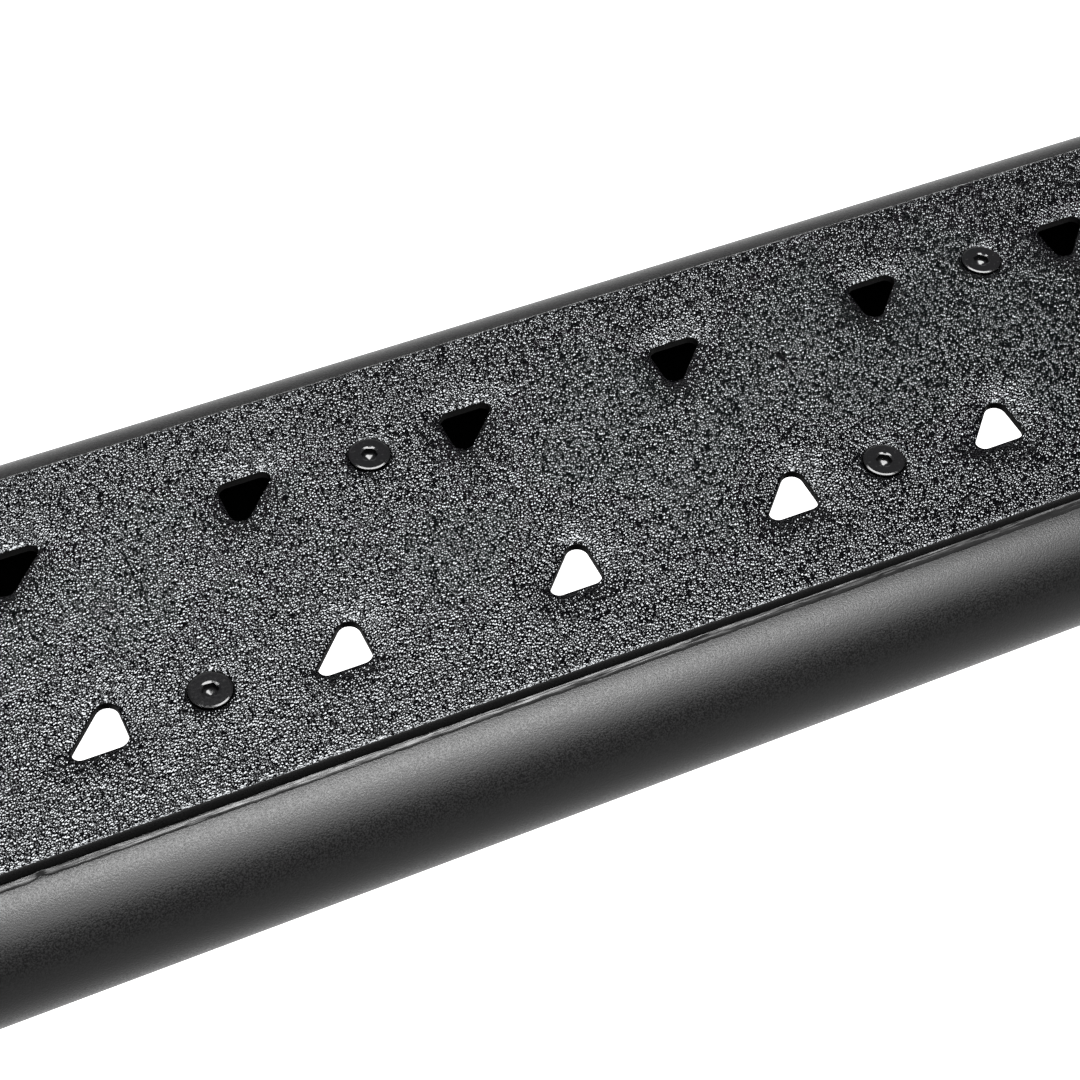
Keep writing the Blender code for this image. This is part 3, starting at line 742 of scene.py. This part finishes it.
def rail(label, side, material):
    base = solid(along_x(rail_outline(side), -HALF_LENGTH, HALF_LENGTH))
    tabs, cuts = [], []
    for node in SCREW_NODES:
        x, y, _ = middle_of(node)
        if (y - BOARD_Y) * side < 0:
            continue
        inner, outer = BOARD_Y + side * TAB_INNER, BOARD_Y + side * (LEDGE_INNER + 0.006)
        corners = [(x - TAB_WIDTH / 2, outer), (x - TAB_WIDTH / 2, inner)]
        corners += [(x + TAB_WIDTH / 2, inner), (x + TAB_WIDTH / 2, outer)]
        plan = rounded(corners, [0, 0.007, 0.007, 0])
        tabs.append(solid(along_z(plan, LEDGE_TOP - SHEET, LEDGE_TOP)))
        hole = arc((x, y), TAB_HOLE_RADIUS, 0, 360, 36)[:-1]
        cuts.append(solid(along_z(hole, LEDGE_TOP - 0.006, LEDGE_TOP + 0.003)))
    for x in (-BRACKET_X, BRACKET_X):
        plan = slot_outline(x, BOARD_Y + side * BRACKET_BOLT_Y, SLOT_LENGTH, SLOT_WIDTH)
        cuts.append(solid(along_z(plan, RAIL_BOTTOM - 0.004, RAIL_BOTTOM + SHEET + 0.004)))
    joined = joined_shapes(tabs)
    with_tabs = combined(base, [joined], "UNION", material)
    mesh = combined(mesh_shape(with_tabs), [joined_shapes(cuts)], "DIFFERENCE", material, 30)
    stand_for(label + "_rail", mesh)


def joined_shapes(shapes):
    whole = Shape()
    for shape in shapes:
        start = len(whole.points)
        whole.points += shape.points
        whole.faces += [tuple(i + start for i in face) for face in shape.faces]
    return whole


def mesh_shape(mesh):
    shape = Shape()
    shape.points = [tuple(vertex.co) for vertex in mesh.vertices]
    shape.faces = [tuple(polygon.vertices) for polygon in mesh.polygons]
    return shape


def gasket(label, side, material):
    """A foam strip squeezed between plate and ledge, its sides bulging unevenly."""
    low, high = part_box(label + "_gasket")
    _, middle_y, middle_z = (low + high) / 2
    _, half_y, half_z = (high - low) / 2
    stations = 260
    rings = []
    for k in range(stations + 1):
        x = low.x + (high.x - low.x) * k / stations
        ring = []
        for i in range(20):
            angle = 2 * math.pi * i / 20
            c, s = math.cos(angle), math.sin(angle)
            y = math.copysign(abs(c) ** 0.35, c)
            z = math.copysign(abs(s) ** 0.55, s)
            wave = 0.0004 * noise.noise(Vector((x * 60, angle, side)))
            ring.append((x, middle_y + y * (half_y - 0.0005 + wave), middle_z + z * half_z))
        rings.append(ring)
    mesh = shape_mesh(label + "_gasket", solid(rings), material)
    stand_for(label + "_gasket", mesh)


def seal_bead(label, side, material):
    """A tooled silicone fillet: low, streaked lengthwise, a little ragged along its outer edge."""
    low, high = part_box(label + "_seal_bead")
    inner = BOARD_Y + side * (PLATE_HALF_WIDTH + GAP / 2)
    floor = LEDGE_TOP + GAP / 3
    stations = 1700
    rings = []

    def drift(x, rate, seed):
        return noise.noise(Vector((x * rate, seed, 7 * side)))

    for k in range(stations + 1):
        x = low.x + (high.x - low.x) * k / stations
        steep = min(1, max(0, side * -x / 0.30 + 0.45))
        width = BEAD_WIDTH + 0.00028 * drift(x, 30, 1)
        width += 0.00022 * drift(x, 190, 2) + 0.00014 * drift(x, 520, 3)
        height = 0.00070 + 0.00018 * drift(x, 24, 4) + BEAD_RISE * steep
        pinch = math.exp(-(((x - side * BEAD_STOP_X) / 0.0016) ** 2))
        width *= 1 - 0.55 * pinch
        ridges = []
        for j in range(3):
            centre = 0.22 + 0.25 * j + 0.12 * drift(x, 22, 5 + j)
            ridges.append((centre, 0.00016 * max(0.0, 0.35 + drift(x, 45, 8 + j))))
        ring = [(x, inner, floor)]
        for i in range(13):
            t = 1 - i / 12
            rise = height * (1 - t) ** 0.75 + 0.00025 * math.sqrt(max(0.0, 1 - t * t))
            rise += sum(size * math.exp(-(((t - centre) / 0.07) ** 2)) for centre, size in ridges)
            rise += 0.0005 * pinch * (1 - t)
            ring.append((x, inner + side * width * t, floor + rise))
        rings.append(ring)
    mesh = shape_mesh(label + "_seal_bead", solid(rings), material, 60)
    stand_for(label + "_seal_bead", mesh)


# -------------------- fasteners
def plate_screw_mesh(material):
    """Countersunk screw with a chamfered hexagon socket and a cut thread; head top at z = 0."""
    socket = ((0.0002, -0.0030), (0.0017, -0.0025), (0.0019, -0.0024))
    head = [(0.0034, 0.0), (0.0036, 0.0), (0.0062, 0.0), (0.0064, 0.0), (0.00692, -0.00020)]
    head += [(0.0070, -0.00030), (0.0070, -0.00065), (0.0042, -0.0033), (0.0040, -0.0036)]
    rings = [circle(radius, z) for radius, z in socket]
    rings += [polygon_ring(0.0049, 6, -0.0024), polygon_ring(0.0050, 6, -0.0023)]
    rings += [polygon_ring(0.0051, 6, -0.00022, 0.00292)]
    rings += [circle(radius, z) for radius, z in head]
    rings += thread_rings(0.0040, 0.00062, 0.00125, -0.0040, -0.0212)
    rings += [circle(0.0032, -0.0219)]
    return shape_mesh("plate_screw", solid(rings), material, 15)


def rivet_nut_mesh(material):
    """Flanged insert nut, knurled and bulged under the sheet; the flange's underside is z = 0."""
    outer = [(0.0048, 0.0021), (0.0077, 0.0021), (0.0080, 0.0018), (0.0080, 0.0002), (0.0078, 0.0)]
    outer += [(0.0052, 0.0), (0.0052, -0.0026), (0.0060, -0.0030), (0.0070, -0.0038)]
    outer += [(0.0072, -0.0046), (0.0066, -0.0054), (0.0055, -0.0062), (0.0052, -0.0070)]
    outer += [(0.0052, -0.0150), (0.0049, -0.0155), (0.0046, -0.0155)]
    rings = []
    for radius, z in outer:
        ring = circle(radius, z)
        if -0.015 < z < -0.006:
            knurl = [1 - 0.03 * (i % 2) for i in range(len(ring))]
            ring = [(x * f, y * f, h) for (x, y, h), f in zip(ring, knurl)]
        rings.append(ring)
    bore = list(reversed(thread_rings(0.0043, -0.0002, 0.00125, 0.0016, -0.0150, steps=4)))
    return shape_mesh("rivet_nut", solid(rings + bore, closed=True), material, 30)


def cap_screw_mesh(material):
    """Button-head screw with a hexagon socket; the head rests on z = 0."""
    rings = [circle(0.0004, 0.0006), polygon_ring(0.0029, 6, 0.0010)]
    rings += [polygon_ring(0.0030, 6, 0.0023), circle(0.0018, 0.0026)]
    for k in range(1, 7):
        angle = math.radians(90 * k / 6)
        rings.append(circle(0.0018 + 0.0030 * math.sin(angle), 0.0008 + 0.0018 * math.cos(angle)))
    rings += [circle(0.0047, 0.0), circle(0.0026, 0.0), circle(0.0025, -0.0004)]
    rings += thread_rings(0.0025, 0.0004, 0.0008, -0.0006, -0.0132, steps=4)
    rings += [circle(0.0019, -0.0139)]
    return shape_mesh("cap_screw", solid(rings), material, 30)


def bracket_bolt_mesh(material):
    """Round-headed bolt with a square neck; the head's underside is z = 0."""
    rings = []
    for k in range(9):
        angle = math.radians(4 + 78 * k / 8)
        rings.append(circle(0.0102 * math.sin(angle), 0.0006 + 0.0044 * math.cos(angle)))
    rings += [circle(0.0100, 0.0004), circle(0.0096, 0.0)]
    neck = 0.0097
    rings += [polygon_ring(neck, 4, 0.0, 0.0063), polygon_ring(neck, 4, -0.0024, 0.0063)]
    rings += [polygon_ring(neck * 0.99, 4, -0.0028, 0.0058), circle(0.0047, -0.0032)]
    rings += thread_rings(0.0048, 0.0007, 0.0015, -0.0036, -0.0204)
    rings += [circle(0.0040, -0.0210)]
    return shape_mesh("bracket_bolt", solid(rings), material, 30)


def washer_mesh(material):
    outer = [(0.0053, 0.0020), (0.0096, 0.0020), (0.0100, 0.0017), (0.0100, 0.0003)]
    outer += [(0.0097, 0.0), (0.0053, 0.0)]
    rings = [circle(radius, z) for radius, z in outer]
    return shape_mesh("bracket_washer", solid(rings, closed=True), material)


def bracket_nut_mesh(material):
    """Hexagon nut with 30 degree chamfers and a threaded bore, standing on z = 0."""
    height, flats = 0.008, 0.017
    rings = []
    for k in range(13):
        z = height * (1 - k / 12)
        rings.append(polygon_ring(flats, 6, z, flats / 2 * 0.955 + min(z, height - z) * 1.73))
    bore = list(reversed(thread_rings(0.0052, -0.0003, 0.0015, height - 0.0006, 0.0006, steps=5)))
    rings += [circle(0.0058, 0.0), *bore, circle(0.0058, height)]
    return shape_mesh("bracket_nut", solid(rings, closed=True), material, 28)


def place_fasteners(looks):
    turn = random.Random(7)
    screw, nut = plate_screw_mesh(looks["oxide"]), rivet_nut_mesh(looks["zinc"])
    for i, node in enumerate(SCREW_NODES, start=1):
        x, y, _ = middle_of(node)
        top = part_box(node)[1].z
        stand_for(node, screw, (x, y, top), (0, 0, turn.uniform(0, 6.28)))
        stand_for(f"rivet_nut_{i:02d}", nut, (x, y, LEDGE_TOP + GAP))
    bolt, washer = bracket_bolt_mesh(looks["zinc"]), washer_mesh(looks["zinc"])
    hexagon, button = bracket_nut_mesh(looks["zinc"]), cap_screw_mesh(looks["oxide"])
    for end, side in (("left", -1), ("right", 1)):
        for row in ("front", "rear"):
            name = f"{end}_{row}"
            for part, mesh in (("bolt", bolt), ("washer", washer), ("nut", hexagon)):
                node = f"bracket_{part}_{name}"
                x, y, _ = middle_of(node)
                seat = RAIL_BOTTOM + SHEET + GAP if part == "bolt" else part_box(node)[0].z
                spin = math.pi / 4 if part == "bolt" else turn.uniform(0, 6.28)
                stand_for(node, mesh, (x, y, seat), (0, 0, spin))
            node = "cap_screw_" + name
            low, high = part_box(node)
            seat = (high.x if side > 0 else low.x) - side * CAP_SCREW_HEAD
            _, y, z = middle_of(node)
            stand_for(node, button, (seat, y, z), (0, side * math.pi / 2, 0))


# -------------------- welded and folded steel
def weld_bead(shape, start, end, radius, seed):
    """A rippled weld along a straight joint, half sunk into the corner."""
    start, end = Vector(start), Vector(end)
    length = (end - start).length
    forward = (end - start).normalized()
    side = forward.orthogonal().normalized()
    up = forward.cross(side)
    steps = max(6, round(length / 0.0007))
    rings = []
    for k in range(steps + 1):
        s = k / steps
        ripple = 0.10 * math.sin(s * length / 0.0024 * 2 * math.pi)
        wander = 0.14 * noise.noise(Vector((s * length * 160, seed, 0)))
        size = radius * (1 + ripple + wander) * min(1, 0.25 + 6 * min(s, 1 - s))
        centre = start.lerp(end, s)
        ring = []
        for i in range(12):
            angle = 2 * math.pi * i / 12
            ring.append(centre + (side * math.cos(angle) + up * math.sin(angle)) * size)
        rings.append(ring)
    shape.loft(rings)


def cross_channel(number, material):
    """A folded channel with its weld runs on the two bottom flanges."""
    node = f"cross_channel_{number}"
    low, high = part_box(node)
    middle, half, sheet = (low.x + high.x) / 2, (high.x - low.x) / 2, CHANNEL_SHEET
    corners = [(-half, low.z), (-half + sheet, low.z), (-half + sheet, high.z - sheet)]
    corners += [(half - sheet, high.z - sheet), (half - sheet, low.z), (half, low.z)]
    corners += [(half, high.z), (-half, high.z)]
    outline = rounded(corners, [0.0004, 0.0004, 0.0018, 0.0018, 0.0004, 0.0004, 0.0045, 0.0045])
    outline = [(middle + x, z) for x, z in outline]
    shape = solid(along_y(outline, low.y, high.y))
    for side in (-1, 1):
        for edge in (-half, half):
            reach = (BOARD_Y + side * (FLANGE_INNER + 0.003), BOARD_Y + side * 0.070)
            weld_bead(shape, (middle + edge, reach[0], low.z), (middle + edge, reach[1], low.z),
                      0.0016, number + side + edge * 50)
    stand_for(node, shape_mesh(node, shape, material))


def end_section(inset, steps=40):
    """The board seen from its end, inset by an amount."""
    radius = RAIL_RADIUS - inset
    step = PLATE_HALF_WIDTH - inset
    top = PLATE_TOP - inset
    right = arc((SHOULDER, RAIL_CENTRE), radius, -90, 90, steps)
    right += [(step + 0.0006, LEDGE_TOP - inset), (step, LEDGE_TOP - inset + 0.0006)]
    right += arc((step - 0.0015, top - 0.0015), 0.0015, 0, 90, 5)
    left = [(-y, z) for y, z in reversed(right)]
    return right + left


def cap_ring(x, inset):
    return [(x, BOARD_Y + y, z) for y, z in end_section(inset)]


def end_pieces(end, side, steel, material):
    """The welded end plate, and the moulded cap with a rounded rim and a shallow groove."""
    low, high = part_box("end_cap_" + end)
    face, outer = (low.x, high.x) if side > 0 else (high.x, low.x)
    plate_low, plate_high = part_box("end_plate_" + end)
    plate_outer = plate_high.x if side > 0 else plate_low.x
    recess = plate_outer + side * GAP
    rings = [cap_ring(recess, RAIL_CAP_INSET), cap_ring(face, RAIL_CAP_INSET), cap_ring(face, 0.0)]
    for k in range(7):
        angle = math.radians(90 * k / 6)
        x = outer - side * CAP_ROUNDING * (1 - math.sin(angle))
        rings.append(cap_ring(x, CAP_ROUNDING * (1 - math.cos(angle))))
    for inset, depth in CAP_GROOVE:
        rings.append(cap_ring(outer - side * depth, inset))
    bores = []
    for row in ("front", "rear"):
        y = middle_of(f"cap_screw_{end}_{row}").y
        bore = arc((y, RAIL_CENTRE), 0.0028, 0, 360, 32)[:-1]
        bores.append(solid(along_x(bore, face - side * 0.004, outer + side * 0.004)))
    cutter = joined_shapes(bores)
    cap = combined(solid(rings), [cutter], "DIFFERENCE", material, 38)
    stand_for("end_cap_" + end, cap)
    inner = plate_low.x if side > 0 else plate_high.x
    ease = 0.0004
    inset = END_PLATE_INSET
    rings = [cap_ring(inner, inset + ease), cap_ring(inner + side * ease, inset)]
    rings += [cap_ring(plate_outer - side * ease, inset), cap_ring(plate_outer, inset + ease)]
    mesh = combined(solid(rings), [cutter], "DIFFERENCE", steel, 38)
    stand_for("end_plate_" + end, mesh)


def plate_with_slots(outline, slots, start, end, ease=0.0005):
    """A flat plate standing along Y, with eased edges and slots, from plan outlines in X and Z."""
    shape = Shape()

    def inset(points, amount):
        middle = Vector(map(sum, zip(*points))) / len(points)
        moved = []
        for i, point in enumerate(points):
            before, after = Vector(points[i - 1]), Vector(points[(i + 1) % len(points)])
            along = (after - before).normalized()
            normal = Vector((-along.y, along.x))
            if normal.dot(middle - Vector(point)) < 0:
                normal.negate()
            moved.append(tuple(Vector(point) + normal * amount))
        return moved

    first, last = [], []
    for points, sign in [(outline, 1)] + [(slot, -1) for slot in slots]:
        rings = [inset(points, sign * ease), points, points, inset(points, sign * ease)]
        depths = [start, start + ease, end - ease, end]
        loops = [shape.ring([(x, z, y) for x, z in ring]) for ring, y in zip(rings, depths)]
        shape.skin(loops)
        first.append(loops[0])
        last.append(loops[-1])
    fill_plane(shape, first[0], first[1:], [], None)
    fill_plane(shape, last[0], last[1:], [], None)
    shape.points = [(x, y, z) for x, z, y in shape.points]
    drop_outside(shape, outline)
    return shape


def drop_outside(shape, outline):
    """Removes flat faces that the triangulation laid outside a concave outline."""
    kept = []
    for face in shape.faces:
        points = [shape.points[i] for i in face]
        middle = [sum(p[axis] for p in points) / len(points) for axis in range(3)]
        flat = max(p[1] for p in points) - min(p[1] for p in points) < 1e-7
        if not flat or inside((middle[0], middle[2]), outline):
            kept.append(face)
    shape.faces = kept


def bracket_channel(x, low_y, high_y, material):
    """The folded channel under the board, with its two bolt holes."""
    half, web, sheet = BRACKET_HALF_WIDTH, BRACKET_WEB, BRACKET_SHEET
    corners = [(x - half, 0), (x - half + sheet, 0), (x - half + sheet, web - sheet)]
    corners += [(x + half - sheet, web - sheet), (x + half - sheet, 0), (x + half, 0)]
    corners += [(x + half, web), (x - half, web)]
    outline = rounded(corners, [0.0004, 0.0004, 0.0022, 0.0022, 0.0004, 0.0004, 0.0058, 0.0058])
    channel = solid(along_y(outline, low_y, high_y))
    holes = []
    for side in (-1, 1):
        hole = arc((x, BOARD_Y + side * BRACKET_BOLT_Y), 0.0053, 0, 360, 40)[:-1]
        holes.append(solid(along_z(hole, web - 0.008, web + 0.004)))
    mesh = combined(channel, [joined_shapes(holes)], "DIFFERENCE", material)
    return mesh_shape(mesh)


def bracket_upright(x, face, top):
    """The standing plate against the vehicle, with its two mounting slots."""
    half, wide = BRACKET_HALF_WIDTH, BRACKET_HALF_WIDTH + UPRIGHT_FLARE
    corners = [(x - half, 0), (x + half, 0), (x + wide, 0.032), (x + wide, top)]
    corners += [(x - wide, top), (x - wide, 0.032)]
    plan = rounded(corners, [0.002, 0.002, 0.012, 0.012, 0.012, 0.012], 8)
    slots = []
    for z in MOUNT_SLOT_HEIGHTS:
        slots.append([(x + v, z + u) for u, v in slot_outline(0, 0, *MOUNT_SLOT)])
    return plate_with_slots(plan, slots, face - UPRIGHT_THICKNESS, face)


def bracket_ribs(x, rear):
    """The two upright ribs between channel and standing plate."""
    foot, ribs = BRACKET_WEB - 0.0004, []
    for start in (-BRACKET_HALF_WIDTH, BRACKET_HALF_WIDTH - BRACKET_SHEET):
        corners = [(rear, foot), (rear, RIB_TOP), (rear - 0.007, RIB_TOP)]
        corners += [(rear - 0.0126, 0.095), (rear - 0.0126, 0.030), (rear - 0.024, foot)]
        plan = rounded(corners, [0, 0.001, 0.004, 0.010, 0.012, 0.001], 6)
        ribs.append(solid(along_x(plan, x + start, x + start + BRACKET_SHEET)))
    return ribs


def bracket_welds(whole, x, edge, seed):
    half, web = BRACKET_HALF_WIDTH, BRACKET_WEB
    weld_bead(whole, (x - half + 0.006, edge, web), (x + half - 0.006, edge, web), 0.0022, seed)
    for start in (-half, half):
        foot, top = (x + start, edge, 0.003), (x + start, edge, RIB_TOP - 0.003)
        weld_bead(whole, foot, top, 0.0021, seed + start)
        inner = x + start - math.copysign(BRACKET_SHEET, start)
        foot, top = (inner, edge - 0.001, web + 0.004), (inner, edge, RIB_TOP - 0.006)
        weld_bead(whole, foot, top, 0.0017, seed * 2 + start)


def bracket(end, x, material):
    """Folded channel, standing plate and two ribs, welded together."""
    low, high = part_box("bracket_" + end)
    channel = bracket_channel(x, low.y, high.y - UPRIGHT_THICKNESS + 0.0002, material)
    upright = bracket_upright(x, high.y, high.z)
    ribs = bracket_ribs(x, high.y - UPRIGHT_THICKNESS + 0.0001)
    whole = joined_shapes([channel, upright, *ribs])
    bracket_welds(whole, x, high.y - UPRIGHT_THICKNESS, 3 if x > 0 else 11)
    mesh = shape_mesh("bracket_" + end, whole, material, 32)
    stand_for("bracket_" + end, mesh)


# -------------------- studio
def floor():
    """A plain white disc, bright enough to leave no shadow, as a light table is."""
    mesh = bpy.data.meshes.new("floor")
    shape = Shape()
    shape.cap(shape.ring(circle(14.0, 0.0, 96)))
    mesh.from_pydata(shape.points, [], shape.faces)
    look = Look("floor_white", (0.03, 0.03, 0.03), 0.9, Emission_Color=(1, 1, 1, 1),
                Emission_Strength=1.9, Specular_IOR_Level=0.0)
    mesh.materials.append(look.material)
    put("floor", mesh, (0, 0, -0.0005))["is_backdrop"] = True


def softbox(name, location, target, size, power):
    data = bpy.data.lights.new(name, "AREA")
    data.shape = "RECTANGLE"
    data.size, data.size_y = size
    data.energy = power
    light = put(name, data, location)
    light.rotation_euler = (Vector(target) - Vector(location)).to_track_quat("-Z", "Y").to_euler()
    light.visible_camera = False


def studio():
    middle = (0, BOARD_Y, PLATE_TOP)
    softbox("key", (0.18, 0.26, 2.3), middle, (2.1, 1.05), 480)
    softbox("back_wall", (0.0, 3.0, 0.75), middle, (6.0, 1.5), 20)
    softbox("front_fill", (0.10, -1.05, 2.1), middle, (3.2, 1.0), 160)
    softbox("front_wall", (0.0, -3.0, 0.9), middle, (6.0, 1.5), 12)
    world = bpy.data.worlds.new("studio")
    bpy.context.scene.world = world
    world.use_nodes = True
    nodes, links = world.node_tree.nodes, world.node_tree.links
    surround = nodes["Background"]
    surround.inputs["Color"].default_value = (0.075, 0.075, 0.085, 1)
    seen = nodes.new("ShaderNodeBackground")
    seen.inputs["Color"].default_value = (1, 1, 1, 1)
    path, mix = nodes.new("ShaderNodeLightPath"), nodes.new("ShaderNodeMixShader")
    links.new(path.outputs["Is Camera Ray"], mix.inputs["Fac"])
    links.new(surround.outputs[0], mix.inputs[1])
    links.new(seen.outputs[0], mix.inputs[2])
    links.new(mix.outputs[0], nodes["World Output"].inputs["Surface"])


def camera():
    """Close over the middle of the board, from outside and to the left, looking down."""
    data = bpy.data.cameras.new("camera")
    data.lens = 83.6
    data.sensor_width = 36
    data.clip_start, data.clip_end = 0.02, 60
    obj = put("camera", data)
    down, across, roll = (math.radians(a) for a in (48.825, 26.886, 2.308))
    level = math.cos(down)
    forward = Vector((math.sin(across) * level, math.cos(across) * level, -math.sin(down)))
    obj.rotation_mode = "QUATERNION"
    aim = forward.to_track_quat("-Z", "Y")
    obj.rotation_quaternion = Matrix.Rotation(-roll, 3, forward).to_quaternion() @ aim
    obj.location = (-0.2854, BOARD_Y - 0.5006, PLATE_TOP + 0.6140)
    bpy.context.scene.camera = obj


# -------------------- build
camera()
studio()
floor()
looks = {
    "textured": textured_coat(),
    "coat": powder_coat(
        "satin_powder_coat", (0.0006, 0.0006, 0.0006), (0.0022, 0.0022, 0.0022), 0.42),
    "underside": powder_coat(
        "plate_edge_coat", (0.0010, 0.0010, 0.0010), (0.0020, 0.0020, 0.0021), 0.55),
    # Painted shade: a darker, nearly unshiny copy of the coat for the stamped holes' walls.
    "wall": powder_coat(
        "hole_wall_painted_shade_coat", (0.0002, 0.0002, 0.0002), (0.0008, 0.0008, 0.0008), 0.6, 0.03),
    "bracket": powder_coat(
        "bracket_powder_coat", (0.006, 0.006, 0.0065), (0.012, 0.012, 0.0125), 0.5),
    "oxide": black_oxide(),
    "zinc": zinc(),
    "foam": foam(),
    "silicone": silicone(),
    "plastic": plastic(),
}
step_plate(looks["textured"], looks["underside"], looks["wall"])
for label, side in (("front", -1), ("rear", 1)):
    rail(label, side, looks["coat"])
    gasket(label, side, looks["foam"])
    seal_bead(label, side, looks["silicone"])
for number in range(1, 5):
    cross_channel(number, looks["bracket"])
for end, side in (("left", -1), ("right", 1)):
    end_pieces(end, side, looks["bracket"], looks["plastic"])
    bracket(end, side * BRACKET_X, looks["bracket"])
place_fasteners(looks)
bpy.context.scene.view_settings.view_transform = "Standard"

[[list(corner) for corner in box] for box in (cad_box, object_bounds())]
